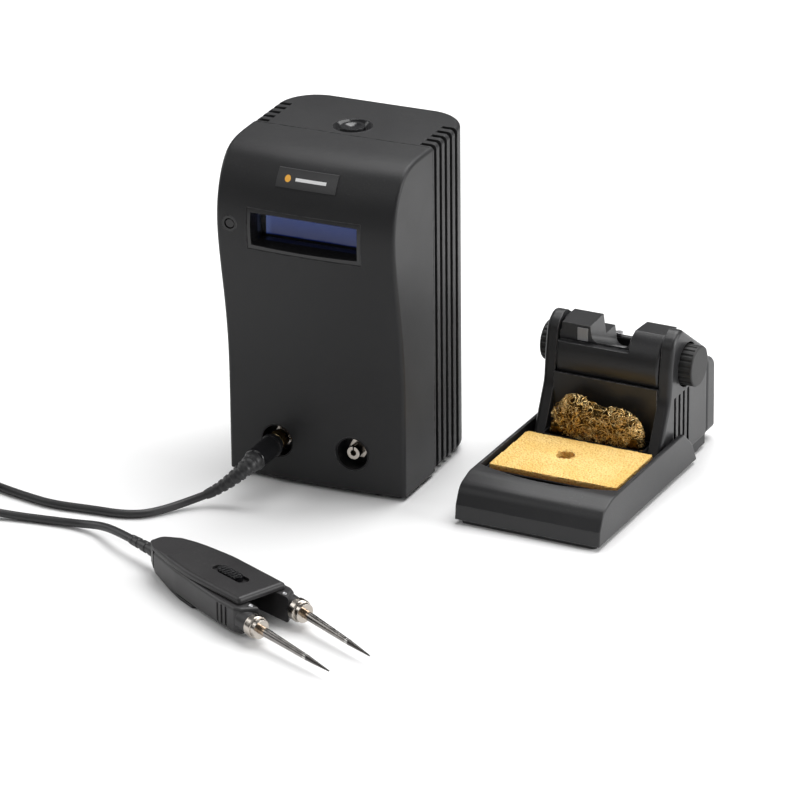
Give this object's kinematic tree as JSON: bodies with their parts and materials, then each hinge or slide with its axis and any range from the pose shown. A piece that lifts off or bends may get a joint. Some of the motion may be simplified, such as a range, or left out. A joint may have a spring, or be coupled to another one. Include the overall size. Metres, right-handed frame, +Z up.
{
  "type": "soldering station",
  "caption": "Soldering station: upright power unit with display and two outlets, tweezer handpiece on its lead, and a workstand with tilting cradle, sponge and brass wool.",
  "frame": {"origin": "centre of the footprint of power unit, workstand and handpiece, on the bench top", "axes": "+Z up, the display and outlets face -Y, +X is towards the workstand"},
  "size_m": [0.4917, 0.4478, 0.2351],
  "materials": {
    "black_shell": "fine textured",
    "black_gloss": "polished",
    "dark_cup": "smooth",
    "label_grey": "printed film",
    "lcd_blue": "backlit panel",
    "clear_window": "clear",
    "nickel": "plated",
    "brass": "turned",
    "steel": "brushed",
    "zinc_plate": "zinc plated",
    "cast_base": "painted",
    "foot_rubber": "matt",
    "aluminium_fins": "extruded",
    "board_green": "solder mask",
    "winding_tape": "tape wrapped",
    "lamination": "varnished laminations",
    "stand_shell": "fine textured",
    "knob_rubber": "fluted",
    "cradle_pad": "smooth",
    "sponge_yellow": "cellulose sponge, damp brown front edge",
    "brass_wool": "curled shavings",
    "handle_black": "satin",
    "arm_grey": "satin",
    "tip_steel": "heat tinted",
    "lead_black": "smooth jacket"
  },
  "bodies": {
    "power_unit": {"front_cover": "black_shell", "label_plate": "label_grey", "lcd_bezel": "black_gloss", "lcd_window": "clear_window", "lcd_module": "lcd_blue", "display_board": "dark_cup", "rear_housing": "black_shell", "power_bezel": "black_gloss", "power_switch": "dark_cup", "select_ring": "black_gloss", "outlet_cups": "dark_cup", "outlet_jacks": "nickel", "outlet_nuts": "nickel", "base_plate": "zinc_plate", "rubber_feet": "foot_rubber", "mains_inlet": "dark_cup", "inlet_pins": "brass", "ground_jack": "brass", "rear_panel": "zinc_plate", "main_board": "board_green", "heat_sink": "aluminium_fins", "transformer_core": "lamination", "transformer_winding": "winding_tape", "housing_screws": "steel", "plug_collar": "brass", "plug_body": "black_gloss", "plug_relief": "lead_black", "lead_near": "lead_black", "lead_far": "lead_black", "lead_coil": "lead_black"},
    "power_button": {"power_button": "black_gloss"},
    "select_button": {"select_button": "black_gloss"},
    "workstand": {"stand_tray": "stand_shell", "stand_base": "cast_base", "tower_side_left": "stand_shell", "tower_side_right": "stand_shell", "tower_front_wall": "stand_shell", "tower_rear_wall": "stand_shell", "rear_block": "stand_shell", "stand_screws": "steel", "sponge_pan": "dark_cup", "wool_holder": "dark_cup"},
    "cradle": {"cradle": "stand_shell", "cradle_pad": "cradle_pad"},
    "knob_left": {"knob_left": "knob_rubber"},
    "knob_right": {"knob_right": "knob_rubber"},
    "sponge": {"sponge": "sponge_yellow"},
    "brass_wool": {"brass_wool": "brass_wool"},
    "handpiece": {"handle_cover": "handle_black", "handle_base": "handle_black", "arm_pins": "steel", "arm_spring": "steel", "tool_relief": "lead_black"},
    "arm_left": {"arm_left": "arm_grey", "nozzle_left": "nickel", "cartridge_left": "tip_steel"},
    "arm_right": {"arm_right": "arm_grey", "nozzle_right": "nickel", "cartridge_right": "tip_steel"},
    "slide_switch": {"slide_switch": "black_gloss"}
  },
  "joints": [
    {"name": "power_push", "type": "slide", "parent": "power_unit", "child": "power_button", "axis": [0, 0, -1], "range_m": [0, 0.0025], "stiffness_N_per_m": 400, "springref_m": -0.001},
    {"name": "select_push", "type": "slide", "parent": "power_unit", "child": "select_button", "axis": [0, 1, 0], "range_m": [0, 0.001], "stiffness_N_per_m": 300, "springref_m": -0.001},
    {"name": "workstand_lift", "type": "slide", "parent": "power_unit", "child": "workstand", "axis": [0, 0, 1], "range_m": [0, 0.12]},
    {"name": "handpiece_lift", "type": "slide", "parent": "power_unit", "child": "handpiece", "axis": [0, 0, 1], "range_m": [0, 0.12]},
    {"name": "cradle_tilt", "type": "hinge", "parent": "workstand", "child": "cradle", "pos_m": [0.08775, 0.16838, 0.0733], "axis": [0.9992, -0.0401, 0], "range_deg": [-18, 18]},
    {"name": "knob_left_turn", "type": "hinge", "parent": "workstand", "child": "knob_left", "pos_m": [0.03779, 0.17038, 0.0733], "axis": [0.9992, -0.0401, 0], "continuous": true},
    {"name": "knob_right_turn", "type": "hinge", "parent": "workstand", "child": "knob_right", "pos_m": [0.13771, 0.16637, 0.0733], "axis": [0.9992, -0.0401, 0], "continuous": true},
    {"name": "sponge_lift", "type": "slide", "parent": "workstand", "child": "sponge", "axis": [0, 0, 1], "range_m": [0, 0.06]},
    {"name": "wool_lift", "type": "slide", "parent": "workstand", "child": "brass_wool", "axis": [0, 0, 1], "range_m": [0, 0.06]},
    {"name": "arm_left_pinch", "type": "hinge", "parent": "handpiece", "child": "arm_left", "pos_m": [-0.10814, -0.13793, 0.011], "axis": [0, 0, 1], "range_deg": [0, 4.8], "stiffness_Nm_per_rad": 2, "springref_deg": -2.86},
    {"name": "arm_right_pinch", "type": "hinge", "parent": "handpiece", "child": "arm_right", "pos_m": [-0.09981, -0.12085, 0.011], "axis": [0, 0, 1], "range_deg": [-4.8, 0], "stiffness_Nm_per_rad": 2, "springref_deg": 2.86},
    {"name": "slide_switch_shift", "type": "slide", "parent": "handpiece", "child": "slide_switch", "axis": [0.8988, -0.4384, 0], "range_m": [-0.0024, 0.0024]}
  ],
  "couplings": [
    {"joint": "arm_right_pinch", "follows": "arm_left_pinch", "ratio": -1}
  ]
}
